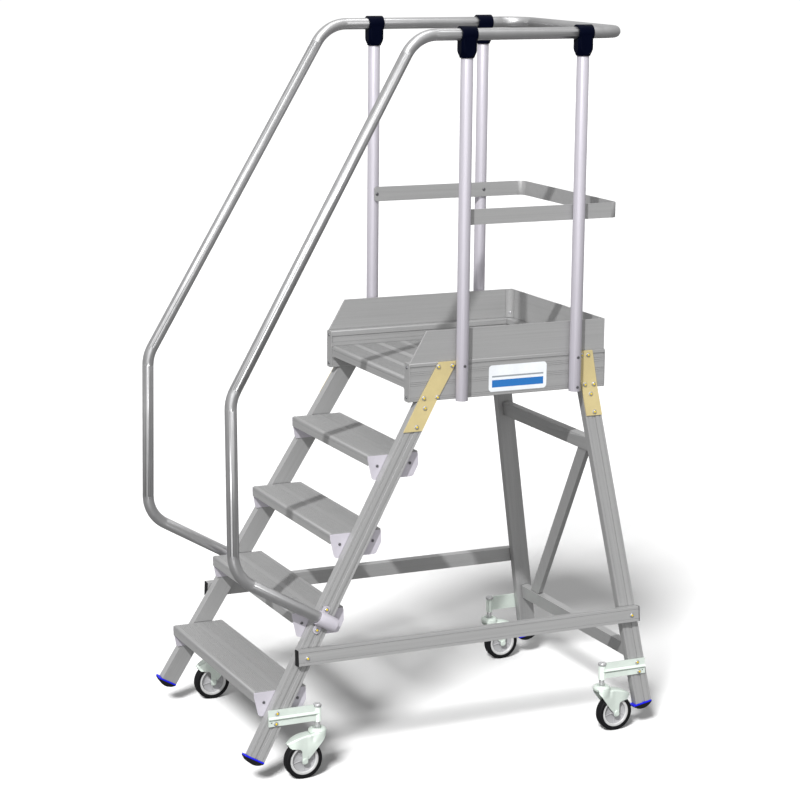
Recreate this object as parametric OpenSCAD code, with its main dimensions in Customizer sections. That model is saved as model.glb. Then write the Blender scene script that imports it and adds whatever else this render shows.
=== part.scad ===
// Rolling warehouse ladder: splayed stair frame, guarded platform and four sprung swivel casters.
// Millimetres, +Z up, climbing towards +Y, the climber's right is +X.
// The origin is on the floor, in the middle of the whole width and length.

/* [Stairs] */
// Height from one tread to the next
rise = 240; // [220:1:250]
// Distance from one tread's nose to the next
going = 139.5; // [130:0.5:145]
// Height of the first tread
first_step = 295; // [285:1:305]
// Depth of a tread and of a deck plank
tread_depth = 178; // [160:1:178]
// Slope of the stiles and handrails in degrees
stair_angle = 60; // [59:0.5:61]
// How far each side leans outwards towards the floor, in degrees
splay = 5.115; // [4:0.1:6]

/* [Platform] */
// Clear width of the deck
deck_width = 600; // [560:1:640]
// Length of the platform
deck_length = 713; // [700:1:730]
// Width of a platform profile
profile_w = 36; // [32:1:40]
// Height of a platform profile
profile_h = 126.5; // [124:0.5:130]
// Height of a platform profile's top above the deck
curb = 52; // [50:1:54]
// Height of a toe board
toe_h = 102.5; // [90:0.5:110]

/* [Rails] */
// Height of the handrail's centre line above the deck
rail_height = 1095; // [1050:1:1100]
// Outer diameter of the handrail
rail_d = 38; // [36:1:40]
// Radius of the handrail's bends
rail_bend = 120; // [100:5:130]
// Outer diameter of a guard post
post_d = 40; // [38:1:42]
// Height of the knee rail's middle above the deck
knee_height = 515; // [480:1:540]
// Lean of the handrails outwards towards the floor, in degrees
rail_tilt = 1.924; // [1.8:0.1:2.0]

/* [Casters] */
// Diameter of a wheel
wheel_d = 125; // [120:1:125]
// Width of a tyre
wheel_w = 32; // [28:1:32]
// Distance from the swivel axis back to the axle
trail = 50; // [46:1:50]
// Travel of the sprung stem
spring_travel = 15; // [12:0.5:15]
// Distance of a caster's stem from the middle of the ladder
caster_x = 421; // [420:0.5:423]

/* [Hidden] */
$fn = 64;

steps = 4;
far = 2000;
joint_gap = 0.2;
bolt_stand = 4.5;

deck_top = first_step + steps * rise;
deck_front = steps * going;
deck_back = deck_front + deck_length;
profile_top = deck_top + curb;
profile_bottom = profile_top - profile_h;
side_x = deck_width / 2 + profile_w;

bar_depth = 60;
bar_thick = 30;
bar_wall = 2;
groove_w = 12;
groove_deep = 3;

// Stile: its front edge is set back from the line through the tread noses
stile_setback = 73.8;
stile_foot = 104;
stile_lean = atan(cos(splay) / tan(stair_angle));

// Rear leg: it leans back towards the floor
leg_slope = 10;
leg_foot = 80;
leg_top_y = deck_front + 627;
leg_lean = atan(tan(leg_slope) * cos(splay));

// Foot: a rim at the bar's end and a sole that bulges below it
rim_h = 5;
sole_r = 50;
sole_mid = 24.5;
sole_drop = 20.5;
sole_half = sqrt(pow(sole_r, 2) - pow(sole_r - sole_drop + rim_h, 2));

plate = 3;
skirt = 34;
rib_pitch = 6;

post_front_y = deck_front + 176;
post_back_y = deck_front + 592;
post_x = side_x + post_d / 2 + joint_gap;
post_bottom = profile_bottom - 2.5;
rail_z = deck_top + rail_height;
rail_x = side_x + post_d / 2;
rail_front = -77;
rail_back = post_back_y + 150;
knee_z = deck_top + knee_height;
knee_t = 5.5;
knee_h = 50;
knee_x = side_x - knee_t / 2;
knee_front = post_front_y + 4;
knee_back = post_back_y + 157;

holder_y = 233.7;
holder_z = 512;
holder_fit = 28;

gusset_t = 4;
brace_t = 25;
brace_h = 51;
brace_z = 375;
brace_front = 132;
brace_back = 1383;
cross_h = 50;
cross_t = 25;
cross_in = 18;
upper_cross_z = 947;
lower_cross_z = 230;

arm_top = 241;
arm_h = 53;
sleeve_r = 12;
sleeve_bottom = 184;
sleeve_top = 234;
sleeve_roof = 4;
stem_r = 9;
rod_r = 5;
head_top = 164.5;
front_caster_y = 203;
rear_caster_y = 1248;
axle_r = 5;
rim_r = 49;
fork_in = 19;
fork_t = 3;
hood_r = 133;
hood_top = 147;
crown_bottom = 144;
crown_top = 158;
pin_r = 6;
fit = 0.05;

// Bend and foot ends that set the middle of the length
rear_foot_y = leg_y(leg_foot) + (sole_mid + sole_half) * cos(leg_slope) + rim_h * sin(leg_slope);
y_mid = (rear_foot_y + rail_front - rail_d / 2) / 2;

bolt_silver = "gainsboro";
zinc = [0.87, 0.91, 0.88];
lilac = [0.86, 0.84, 0.88];
mill = [0.67, 0.67, 0.68];
beige = [0.88, 0.83, 0.63];
navy = [0.07, 0.09, 0.16];

// ---- heights and lines ----

// Front edge of a stile at a height
function stile_y(z) = (z - first_step) / tan(stair_angle) + stile_setback;
// Front edge of a rear leg at a height
function leg_y(z) = leg_top_y + (profile_bottom - z) * tan(leg_slope);
// Distance along a splayed side for a height
function along(z) = (z - profile_bottom) / cos(splay);
// Distance along the plane of a handrail for a height
function down_rail(z) = (z - rail_z) / cos(rail_tilt);
function step_y(i) = (i - 1) * going;
function step_z(i) = first_step + (i - 1) * rise;

// ---- placing ----

module in_frame() {
    translate([0, -y_mid, 0]) children();
}

module on_side(s) {
    if (s < 0) mirror([1, 0, 0]) children();
    else children();
}

module both_sides() {
    for (s = [-1, 1]) on_side(s) children();
}

// Right side: x = 0 is its outer face, z = 0 the underside of the platform
module splayed() {
    translate([side_x, 0, profile_bottom]) rotate([0, -splay, 0]) children();
}

// Plane of the right handrail: x = 0 is its centre line, z = 0 the level of its top
module in_rail_plane() {
    translate([rail_x, 0, rail_z]) rotate([0, -rail_tilt, 0]) children();
}

// Bar frame: y runs across the bar from its front edge, z = 0 is the bar's lower end
module at_stile_foot() {
    splayed() translate([0, stile_y(stile_foot), along(stile_foot)]) rotate([-stile_lean, 0, 0]) children();
}

module at_leg_foot() {
    splayed() translate([0, leg_y(leg_foot), along(leg_foot)]) rotate([leg_lean, 0, 0]) children();
}

// Plane of the two rear legs: y = 0 is their front edges, z = 0 the underside of the platform
module in_leg_plane() {
    translate([0, leg_top_y, profile_bottom]) rotate([leg_slope, 0, 0]) children();
}

module at_each_foot() {
    both_sides() {
        at_stile_foot() children();
        at_leg_foot() children();
    }
}

// Extrudes a drawing of (y, z) along X
module along_x(x0, x1) {
    translate([x0, 0, 0]) rotate([90, 0, 90]) linear_extrude(x1 - x0) children();
}

// Extrudes a drawing of (x, z) along Y
module along_y(y0, y1) {
    translate([0, y1, 0]) rotate([90, 0, 0]) linear_extrude(y1 - y0) children();
}

// Cuts away all that is above the underside of the platform
module below_platform() {
    difference() {
        children();
        translate([-far / 2, -far / 2, profile_bottom]) cube([far, 2 * far, far]);
    }
}

// Cuts off what reaches further out than a depth inside the splayed sides
module between_sides(inset) {
    difference() {
        children();
        both_sides() splayed() translate([-inset, -far / 2, -far]) cube([far, 2 * far, 2 * far]);
    }
}

// ---- shared shapes ----

module round_rect(w, h, r) {
    translate([r, 0]) square([w - 2 * r, h]);
    translate([0, r]) square([w, h - 2 * r]);
    for (x = [r, w - r], y = [r, h - r]) translate([x, y]) circle(r);
}

module ring(outer, inner) {
    difference() {
        circle(d = outer);
        circle(d = inner);
    }
}

// Hollow bar with a groove down its outer face
module bar_section() {
    difference() {
        translate([-bar_thick, 0]) square([bar_thick, bar_depth]);
        difference() {
            translate([bar_wall - bar_thick, bar_wall])
                square([bar_thick - 2 * bar_wall, bar_depth - 2 * bar_wall]);
            translate([-groove_deep - bar_wall, (bar_depth - groove_w) / 2 - bar_wall])
                square([groove_deep + bar_wall, groove_w + 2 * bar_wall]);
        }
        translate([-groove_deep, (bar_depth - groove_w) / 2]) square([groove_deep + 1, groove_w]);
        for (y = [8, bar_depth - 9]) translate([-0.8, y]) square([2, 1]);
    }
}

module hollow(w, h, wall) {
    difference() {
        square([w, h]);
        translate([wall, wall]) square([w - 2 * wall, h - 2 * wall]);
    }
}

function unit(a, b) = (b - a) / norm(b - a);
function bend(a, b, c) = atan2(cross(unit(a, b), unit(b, c)), unit(a, b) * unit(b, c));
function taken(a, b, c, r) = r * tan(abs(bend(a, b, c)) / 2);

// Follows a flat path whose corners are bent to a radius: the first child is the section of the bends,
// the second that of the straights, which reach into the bends by a lap
module bent(path, r, lap = 0) {
    last = len(path) - 1;
    for (i = [0 : last - 1]) {
        d = unit(path[i], path[i + 1]);
        t0 = i == 0 ? 0 : taken(path[i - 1], path[i], path[i + 1], r) - lap;
        t1 = i == last - 1 ? 0 : taken(path[i], path[i + 1], path[i + 2], r) - lap;
        start = path[i] + d * t0;
        translate([start.x, start.y, 0])
            rotate([0, 0, atan2(d.y, d.x)])
            rotate([90, 0, 90])
            linear_extrude(norm(path[i + 1] - path[i]) - t0 - t1) children(1);
    }
    for (i = [1 : last - 1]) {
        d = unit(path[i - 1], path[i]);
        turn = bend(path[i - 1], path[i], path[i + 1]);
        start = path[i] - d * taken(path[i - 1], path[i], path[i + 1], r);
        centre = start + sign(turn) * r * [-d.y, d.x];
        from = atan2(start.y - centre.y, start.x - centre.x);
        translate([centre.x, centre.y, 0])
            rotate([0, 0, turn > 0 ? from : from + turn])
            rotate_extrude(angle = abs(turn)) translate([r, 0]) children(0);
    }
}

// The straights are a hair thicker than the bends, so that the two join without a seam
module bent_tube(path, r, outer, inner) {
    hair = 0.02;
    bent(path, r, 0.2) {
        ring(outer - hair, inner + hair);
        ring(outer, inner);
    }
}

// ---- stair frame ----

module bar(length) {
    linear_extrude(length) bar_section();
}

module stiles() {
    color(mill) in_frame() below_platform() both_sides()
        at_stile_foot() bar((profile_bottom - stile_foot) / cos(splay) / cos(stile_lean) + bar_depth);
}

module rear_legs() {
    color(mill) in_frame() below_platform() both_sides()
        at_leg_foot() bar((profile_bottom - leg_foot) / cos(splay) / cos(leg_lean) + bar_depth);
}

module foot_soles() {
    lip = 2;
    color("black") in_frame() at_each_foot() intersection() {
        along_x(-bar_thick - lip, lip) translate([sole_mid, sole_r - sole_drop]) circle(sole_r);
        translate([-bar_thick - lip, -bar_depth, -bar_depth - rim_h])
            cube([bar_thick + 2 * lip, far, bar_depth]);
    }
}

module foot_rims() {
    lip = 2;
    plug = 25;
    play = 0.5;
    inner = bar_thick - 2 * bar_wall - groove_deep - 2 * play;
    color("blue") in_frame() at_each_foot() {
        translate([-bar_thick - lip, sole_mid - sole_half + 1, -rim_h])
            cube([bar_thick + 2 * lip, 2 * sole_half - 2, rim_h]);
        translate([bar_wall + play - bar_thick, bar_wall + play, 0])
            cube([inner, bar_depth - 2 * (bar_wall + play), plug]);
    }
}

// Open channel with a ribbed top and a rounded nose
module plank_section(depth, nose) {
    wall = 3;
    bays = 3;
    bay = (depth - wall * (bays + 1)) / bays;
    margin = 14;
    difference() {
        union() {
            translate([nose, -skirt]) square([depth - nose, skirt]);
            translate([0, -skirt]) square([nose, skirt - nose]);
            translate([nose, -nose]) circle(nose);
        }
        for (i = [0 : bays - 1])
            translate([wall + i * (bay + wall), -skirt - 1]) square([bay, skirt + 1 - wall - 1.5]);
        for (y = [margin : rib_pitch : depth / 2 - margin]) {
            translate([y, -1.2]) square([2.5, 2]);
            translate([depth - y - 2.5, -1.2]) square([2.5, 2]);
        }
        translate([-1, -13]) square([2, 1.5]);
        translate([depth - 1, -13]) square([2, 1.5]);
    }
}

module tread(i) {
    color(mill) in_frame() between_sides(bar_thick + plate)
        translate([0, step_y(i), step_z(i)]) along_x(-side_x * 2, side_x * 2)
        plank_section(tread_depth, 6);
}

module tread_1() {
    tread(1);
}

module tread_2() {
    tread(2);
}

module tread_3() {
    tread(3);
}

module tread_4() {
    tread(4);
}

module bracket_outline() {
    bottom = -78;
    polygon([
        [0, 0], [0, -15], [12, bottom + 6], [19, bottom], [tread_depth - 26, bottom],
        [tread_depth - 19, bottom + 3], [tread_depth, -41], [tread_depth, -6], [tread_depth - 3, 0]
    ]);
}

module tread_brackets() {
    color(lilac) in_frame() both_sides() splayed() for (i = [1 : steps])
        translate([0, step_y(i), along(step_z(i))]) along_x(-bar_thick - plate, -bar_thick) bracket_outline();
}

// ---- platform ----

module deck_planks() {
    inside = deck_length - profile_w;
    full = 3;
    last = inside - full * tread_depth;
    color(mill) in_frame() for (i = [0 : full])
        translate([0, deck_front + i * tread_depth, deck_top]) along_x(-deck_width / 2, deck_width / 2)
        plank_section((i < full ? tread_depth : last) - joint_gap, i == 0 ? 6 : 1);
}

// Hollow profile, x = 0 inside and profile_w outside, with fine lines and one deep groove outside
module profile_section() {
    wall = 3;
    band = 109.5;
    recess = 3;
    ledge = deck_top - profile_bottom + 12;
    difference() {
        union() {
            round_rect(profile_w, profile_h, 3);
            translate([-12, ledge - 12 - skirt - 4]) square([14, 4]);
        }
        translate([wall, wall]) square([profile_w - 2 * wall, 60]);
        translate([wall + recess, wall + 63]) square([profile_w - 2 * wall - recess - 2, 37]);
        translate([profile_w - 2.5, band]) square([4, 6]);
        translate([-1, ledge]) square([recess + 1, band - ledge]);
        for (z = [8, 14, 52, 58, 64, 86, 92, 98]) translate([profile_w - 0.8, z]) square([2, 1.2]);
    }
}

module side_profile(s) {
    color(mill) in_frame() on_side(s) translate([deck_width / 2, 0, profile_bottom]) difference() {
        along_y(deck_front, deck_back) profile_section();
        translate([-20, deck_back - profile_w, -1]) cube([20, profile_w + 1, profile_h]);
    }
}

module side_profile_left() {
    side_profile(-1);
}

module side_profile_right() {
    side_profile(1);
}

// Turned so that its outer face looks back
module rear_profile() {
    color(mill) in_frame() translate([0, deck_back - profile_w, profile_bottom])
        along_x(-deck_width / 2, deck_width / 2) difference() {
            profile_section();
            translate([-20, -1]) square([20, profile_h]);
        }
}

module profile_end_plates() {
    color(mill) in_frame() both_sides() for (y = [deck_front - plate, deck_back])
        translate([deck_width / 2 - 1, 0, profile_bottom - 1])
        along_y(y, y + plate) round_rect(profile_w + 2, profile_h + 1, 7);
}

toe_t = 6;
toe_x = side_x - 9;

module toe_board_side(s) {
    slope_y = toe_h / tan(stair_angle);
    color(mill) in_frame() on_side(s) along_x(toe_x, toe_x + toe_t) polygon([
        [deck_front, profile_top], [deck_front + slope_y, profile_top + toe_h],
        [deck_back - toe_t, profile_top + toe_h], [deck_back - toe_t, profile_top]
    ]);
}

module toe_board_left() {
    toe_board_side(-1);
}

module toe_board_right() {
    toe_board_side(1);
}

module toe_board_rear() {
    color(mill) in_frame() translate([-toe_x - toe_t, deck_back - toe_t, profile_top])
        cube([2 * (toe_x + toe_t), toe_t, toe_h]);
}

// ---- guard rail ----

clamp_bottom = deck_top + 1022;
clamp_top = rail_z + 26;
post_top = rail_z - 25;

module posts(y) {
    color(lilac) in_frame() both_sides() translate([post_x, y, post_bottom])
        linear_extrude(post_top - post_bottom) ring(post_d, post_d - 4);
}

module front_posts() {
    posts(post_front_y);
}

module rear_posts() {
    posts(post_back_y);
}

// Rounded body on the post, narrowing to a collar, with a strap ring round the handrail
module clamp() {
    width = 54;
    thick = 50;
    taper = 24;
    shoulder = rail_z - clamp_bottom;
    difference() {
        union() {
            intersection() {
                translate([-thick / 2, -width / 2, clamp_bottom]) linear_extrude(shoulder)
                    round_rect(thick, width, 12);
                translate([0, 0, clamp_bottom]) rotate_extrude() polygon([
                    [0, 0], [23.5, 0], [24, 3], [29, 14], [32, taper], [32, shoulder], [0, shoulder]
                ]);
            }
            translate([0, -width / 2, rail_z]) rotate([-90, 0, 0])
                cylinder(r = clamp_top - rail_z, h = width);
        }
        translate([0, -width, rail_z]) rotate([-90, 0, 0])
            cylinder(d = rail_d + 2 * joint_gap, h = 2 * width);
        translate([joint_gap, 0, clamp_bottom - 1])
            cylinder(d = post_d + 2 * joint_gap, h = post_top - clamp_bottom + 1);
    }
}

module rail_clamps() {
    color(navy) in_frame() both_sides() for (y = [post_front_y, post_back_y])
        translate([rail_x, y, 0]) clamp();
}

// Centre line of a side rail in its plane, from the rear clamp to its seat in the holder
holder_end = down_rail(holder_z) - holder_fit * sin(90 - stair_angle);
holder_reach = holder_y + holder_fit * cos(90 - stair_angle);
rail_drop = (deck_front - rail_front) * tan(stair_angle);
rail_knee = holder_end + (holder_reach - rail_front) * tan(90 - stair_angle);
rail_path = [
    [post_back_y, 0], [deck_front, 0], [rail_front, -rail_drop],
    [rail_front, rail_knee], [holder_reach, holder_end]
];

module handrail_side(s) {
    color("silver") in_frame() on_side(s) in_rail_plane() rotate([90, 0, 90])
        bent_tube(rail_path, rail_bend, rail_d, rail_d - 4);
}

module handrail_left() {
    handrail_side(-1);
}

module handrail_right() {
    handrail_side(1);
}

module handrail_rear() {
    corner = 85;
    color("silver") in_frame() translate([0, 0, rail_z]) bent_tube([
        [-rail_x, post_back_y], [-rail_x, rail_back], [rail_x, rail_back], [rail_x, post_back_y]
    ], corner, rail_d, rail_d - 4);
}

// Casting on the stile: a closed barrel for the handrail's end and two bolted ears
module handrail_holders() {
    barrel_r = rail_d / 2 + 4.5;
    before = 32;
    after = holder_fit + 6;
    ear = 36;
    foot_y = holder_y - 8;
    stand = rail_x - side_x + (rail_z - holder_z) * tan(rail_tilt) - (profile_bottom - holder_z) * tan(splay);
    color(lilac) in_frame() both_sides() difference() {
        union() {
            in_rail_plane() translate([0, holder_y, down_rail(holder_z)]) rotate([stair_angle - 90, 0, 0]) {
                translate([0, -before, 0]) rotate([-90, 0, 0]) cylinder(r = barrel_r, h = before + after);
                translate([0, after, 0]) rotate([-90, 0, 0])
                    cylinder(r1 = barrel_r, r2 = barrel_r - 6, h = 5);
            }
            splayed() translate([0, foot_y, along(holder_z)]) rotate([-stile_lean, 0, 0]) {
                along_x(0, 5) {
                    for (z = [-ear, ear]) translate([0, z]) circle(12);
                    translate([-12, -ear]) square([24, 2 * ear]);
                }
                translate([0, -20, -22]) cube([stand, 44, 44]);
            }
        }
        in_rail_plane() translate([0, holder_y, down_rail(holder_z)]) rotate([stair_angle - 90, 0, 0])
            translate([0, -before - 20, 0]) rotate([-90, 0, 0])
            cylinder(d = rail_d + 2 * joint_gap, h = before + 20 + holder_fit);
        splayed() translate([-far, -far / 2, -far]) cube([far, far, far]);
    }
}

// Flat bar round the back of the deck, with rounded front ends
module knee_rail() {
    lead = 9;
    color("silver") in_frame() translate([0, 0, knee_z]) {
        bent([
            [-knee_x, knee_front], [-knee_x, knee_back], [knee_x, knee_back], [knee_x, knee_front]
        ], 25) {
            square([knee_t, knee_h], center = true);
            square([knee_t, knee_h], center = true);
        }
        both_sides() translate([0, knee_front - lead, -knee_h / 2])
            along_x(knee_x - knee_t / 2, knee_x + knee_t / 2) round_rect(4 * lead, knee_h, lead);
    }
}

// ---- plates and braces ----

gusset_bottom = profile_bottom - 94.5;

module gusset_upper(lean, y, w) {
    slope = tan(lean);
    top = profile_top - profile_bottom;
    translate([0, 0, profile_bottom]) along_x(side_x, side_x + gusset_t)
        polygon([[y, 0], [y + slope * top, top], [y + slope * top + w, top], [y + w, 0]]);
}

module gusset_lower(lean, y, w) {
    low = along(gusset_bottom);
    slope = tan(lean) * cos(splay);
    splayed() along_x(0, gusset_t)
        polygon([[y, 0], [y + w, 0], [y + w + slope * low, low], [y + slope * low, low]]);
}

module gusset_plates() {
    front_w = bar_depth / cos(90 - stair_angle) - 3;
    rear_w = bar_depth / cos(leg_slope);
    front_y = stile_y(profile_bottom) + 1;
    rear_y = leg_y(profile_bottom);
    color(beige) in_frame() both_sides() {
        gusset_upper(90 - stair_angle, front_y, front_w);
        gusset_lower(90 - stair_angle, front_y, front_w);
        gusset_upper(-leg_slope, rear_y + 2, rear_w - 2);
        gusset_lower(-leg_slope, rear_y + 2, rear_w - 2);
    }
}

module long_braces() {
    color(mill) in_frame() both_sides() splayed() translate([0, 0, along(brace_z)])
        along_y(brace_front + plate, brace_back - plate) difference() {
            hollow(brace_t, brace_h, 2);
            for (z = [9, brace_h - 10]) translate([brace_t - 0.8, z]) square([2, 1]);
        }
}

module brace_end_caps() {
    color("black") in_frame() both_sides() splayed() translate([0, 0, along(brace_z)])
        for (y = [brace_front, brace_back - plate]) along_y(y, y + plate) square([brace_t, brace_h]);
}

module rear_cross(z) {
    color(mill) in_frame() between_sides(bar_thick) in_leg_plane()
        translate([-far / 2, cross_in, (z - profile_bottom) / cos(leg_slope)])
        along_x(0, far) hollow(cross_t, cross_h, 2);
}

module rear_brace_upper() {
    rear_cross(upper_cross_z);
}

module rear_brace_lower() {
    rear_cross(lower_cross_z);
}

// Flat hollow bar from the upper right to the lower left of the rear frame
module rear_brace_diagonal() {
    width = 46;
    thick = 18;
    low = (lower_cross_z - profile_bottom) / cos(leg_slope) + cross_h;
    high = (upper_cross_z - profile_bottom) / cos(leg_slope);
    from_x = -288;
    to_x = 246;
    run = [to_x - from_x, high - low];
    color(mill) in_frame() in_leg_plane() intersection() {
        translate([from_x, cross_in + (cross_t - thick) / 2, low]) rotate([0, 90 - atan2(run.y, run.x), 0])
            translate([-width / 2, 0, -width]) linear_extrude(norm(run) + 2 * width) hollow(width, thick, 2);
        translate([-far / 2, 0, low]) cube([far, bar_depth, high - low]);
    }
}

// ---- caster arms ----

// Flat at the top and bottom, with a sloped ledge and a groove between
module arm_section() {
    flat_t = 6;
    ledge_t = 11;
    polygon([
        [0, 0], [flat_t, 0], [flat_t, 17], [3, 18], [3, 21], [flat_t, 22],
        [ledge_t, 23], [ledge_t, 25], [flat_t, 31], [flat_t, arm_h], [0, arm_h]
    ]);
}

module caster_arm(y0, y1, caster_y, hole_y) {
    difference() {
        union() {
            splayed() translate([0, 0, along(arm_top - arm_h)]) along_y(y0, y1) arm_section();
            translate([caster_x, caster_y, sleeve_bottom])
                cylinder(r = sleeve_r, h = sleeve_top - sleeve_bottom);
        }
        translate([caster_x, caster_y, 0]) {
            cylinder(r = stem_r + fit, h = sleeve_top - sleeve_roof);
            cylinder(r = rod_r + fit, h = sleeve_top + 1);
            translate([0, 0, sleeve_top]) cylinder(r = sleeve_r + 3, h = 30);
        }
        splayed() translate([-1, hole_y, along(arm_top - 41)]) rotate([0, 90, 0]) cylinder(r = 2.5, h = 20);
    }
}

module caster_arms() {
    color(zinc) in_frame() both_sides() {
        caster_arm(33, front_caster_y, front_caster_y, 43);
        caster_arm(rear_caster_y, 1412, rear_caster_y, 1402);
    }
}

// ---- fasteners ----

stair_gusset_bolts = [[657, 1292], [707, 1292], [606, 1192], [654, 1192]];
leg_gusset_bolts = [[1182, 1292], [1207, 1292], [1198, 1192], [1231, 1192]];
lower_gusset_bolts = [[609, 1159], [578, 1100], [1220, 1159], [1233, 1098]];
brace_bolts = [[165, 398], [1352, 398]];
arm_bolts = [[62, arm_top - 12], [57, arm_top - 45], [1381, arm_top - 12], [1388, arm_top - 45]];
holder_bolts = [-36, 36];
bracket_screws = [[32, -34], [148, -34]];
end_plate_screws = [14, 112];
post_screws = [[post_front_y, 1294], [post_back_y, 1293], [post_back_y, 1193]];

// Washer and domed head, pointing along +X
module bolt_head() {
    rotate([0, 90, 0]) rotate_extrude() polygon([
        [0, 0], [7.5, 0], [7.5, 1.2], [6.6, 1.4], [6.2, 3], [5.2, bolt_stand], [0, bolt_stand]
    ]);
}

// Round end of the bolt in the middle of its head
module bolt_tip() {
    translate([bolt_stand, 0, 0]) rotate([0, 90, 0]) cylinder(r1 = 3.4, r2 = 2.4, h = 1.8);
}

// Places children at every large bolt of the right side
module at_frame_bolts() {
    for (p = concat(stair_gusset_bolts, leg_gusset_bolts))
        translate([side_x + gusset_t, p.x, p.y]) children();
    splayed() {
        for (p = lower_gusset_bolts) translate([gusset_t, p.x, along(p.y)]) children();
        for (p = brace_bolts) translate([brace_t, p.x, along(p.y)]) children();
        for (p = arm_bolts) translate([6, p.x, along(p.y)]) children();
        translate([5, holder_y - 8, along(holder_z)]) rotate([-stile_lean, 0, 0])
            for (z = holder_bolts) translate([0, 0, z]) children();
    }
}

module frame_bolts() {
    color(bolt_silver) in_frame() both_sides() at_frame_bolts() bolt_head();
}

module small_screws() {
    color("dimgray") in_frame() both_sides() {
        splayed() for (i = [1 : steps], p = bracket_screws)
            translate([-bar_thick, step_y(i) + p.x, along(step_z(i)) + p.y]) rotate([0, 90, 0])
            cylinder(r1 = 5, r2 = 3.5, h = 3);
        for (z = end_plate_screws)
            translate([deck_width / 2 + profile_w / 2, deck_front - plate, profile_bottom + z])
            rotate([90, 0, 0]) cylinder(r1 = 5, r2 = 3.5, h = 3);
        difference() {
            for (p = post_screws) translate([post_x + post_d / 2 - 1, p.x, p.y]) rotate([0, 90, 0])
                cylinder(r1 = 5, r2 = 4, h = 3);
            for (y = [post_front_y, post_back_y]) translate([post_x, y, post_bottom])
                cylinder(d = post_d, h = post_top - post_bottom);
        }
        for (y = [knee_front, post_back_y]) translate([knee_x - knee_t / 2, y, knee_z]) rotate([0, -90, 0])
            cylinder(r1 = 6, r2 = 4, h = 2.5);
    }
}

module bolt_tips() {
    color("gold") in_frame() both_sides() at_frame_bolts() bolt_tip();
}

module side_label() {
    color("white") in_frame() both_sides() translate([0, deck_front + 283, profile_bottom + 12.5])
        along_x(side_x, side_x + 0.8) round_rect(213, 88, 12);
}

// ---- casters ----

// Stem axis of a caster on the floor, with the wheel trailing along +y
module at_caster(front, s) {
    in_frame() translate([s * caster_x, front ? front_caster_y : rear_caster_y, 0])
        rotate([0, 0, front ? 180 : 0]) children();
}

// Pin with a nut under the fork, thick slide, spring rod and cap
module stem() {
    shoulder = sleeve_bottom + spring_travel;
    cap_h = 9;
    color("lightgrey") rotate_extrude() polygon([
        [0, crown_bottom - 8], [9, crown_bottom - 8], [9, crown_bottom - 0.1], [pin_r, crown_bottom - 0.1],
        [pin_r, crown_top + 0.1], [stem_r, crown_top + 0.1], [stem_r, shoulder], [rod_r, shoulder],
        [rod_r, sleeve_top], [13.5, sleeve_top], [13.5, sleeve_top + cap_h - 2],
        [11.5, sleeve_top + cap_h], [0, sleeve_top + cap_h]
    ]);
}

spring_turns = 4;
spring_sides = 6;
spring_rings = 10 * spring_turns;
spring_wire = 1;
spring_mid = 7.2;

// Coil spring round the rod, from the stem's shoulder up to the sleeve's roof
module spring() {
    low = sleeve_bottom + spring_travel + spring_wire + 0.1;
    high = sleeve_top - sleeve_roof - spring_wire - 0.1;
    points = [
        for (i = [0 : spring_rings], j = [0 : spring_sides - 1])
            let (
                a = 360 * spring_turns * i / spring_rings,
                b = 360 * j / spring_sides,
                r = spring_mid + spring_wire * cos(b),
                z = low + (high - low) * i / spring_rings + spring_wire * sin(b)
            ) [r * cos(a), r * sin(a), z]
    ];
    function corner(i, j) = i * spring_sides + j % spring_sides;
    walls = [
        for (i = [0 : spring_rings - 1], j = [0 : spring_sides - 1])
            each [
                [corner(i, j), corner(i, j + 1), corner(i + 1, j)],
                [corner(i, j + 1), corner(i + 1, j + 1), corner(i + 1, j)]
            ]
    ];
    start = [for (j = [spring_sides - 1 : -1 : 0]) corner(0, j)];
    end = [for (j = [0 : spring_sides - 1]) corner(spring_rings, j)];
    color("dimgray") polyhedron(points, concat(walls, [start, end]));
}

// Drawing of a fork cheek: (distance behind the stem, height)
module cheek_outline() {
    boss = 12;
    axle_z = wheel_d / 2;
    intersection() {
        union() {
            polygon([
                [-20, 150], [-20.5, 142], [4, 108], [26, 80], [trail - boss + 1.4, axle_z + 5],
                [trail + boss, axle_z], [trail + 9, 82], [trail + 8, 93], [trail + 12, 100],
                [trail + 20, 103], [93, 105], [101, 113], [108, 129], [100, 150]
            ]);
            translate([trail, axle_z]) circle(boss);
        }
        union() {
            translate([30, hood_top - hood_r]) circle(hood_r);
            translate([-40, 0]) square([58, crown_bottom + 6]);
        }
    }
}

// Pressed fork: domed swivel head, two cheeks and a hood over the wheel
module fork() {
    color(zinc) difference() {
        union() {
            for (x = [-fork_in - fork_t, fork_in]) along_x(x, x + fork_t) cheek_outline();
            along_x(-fork_in - 0.5, fork_in + 0.5) intersection() {
                translate([30, hood_top - hood_r]) difference() {
                    circle(hood_r);
                    circle(hood_r - fork_t);
                }
                translate([20, 100]) square([87.5, 70]);
            }
            rotate_extrude() polygon([
                [0, crown_bottom], [25, crown_bottom], [28, 148], [29.5, 154], [29, 158],
                [26, 161.5], [21, 164], [19, head_top], [14, head_top], [13, crown_top], [0, crown_top]
            ]);
        }
        translate([0, 0, crown_bottom - 1]) cylinder(r = pin_r + fit, h = 30);
        translate([0, 0, crown_top]) cylinder(r = 13, h = 20);
        translate([-50, trail, wheel_d / 2]) rotate([0, 90, 0]) cylinder(r = axle_r, h = 100);
    }
}

module axle() {
    reach = fork_in + fork_t;
    head = 4;
    color(bolt_silver) translate([-reach - head, trail, wheel_d / 2]) rotate([0, 90, 0]) {
        cylinder(r = axle_r, h = 2 * (reach + head));
        cylinder(r = 8, h = head);
        translate([0, 0, 2 * reach + head]) cylinder(r = 8, h = head);
    }
}

// Revolves a drawing of (radius, width) about the axle
module about_axle() {
    translate([0, trail, wheel_d / 2]) rotate([0, 90, 0]) rotate_extrude($fn = 96) children();
}

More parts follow.
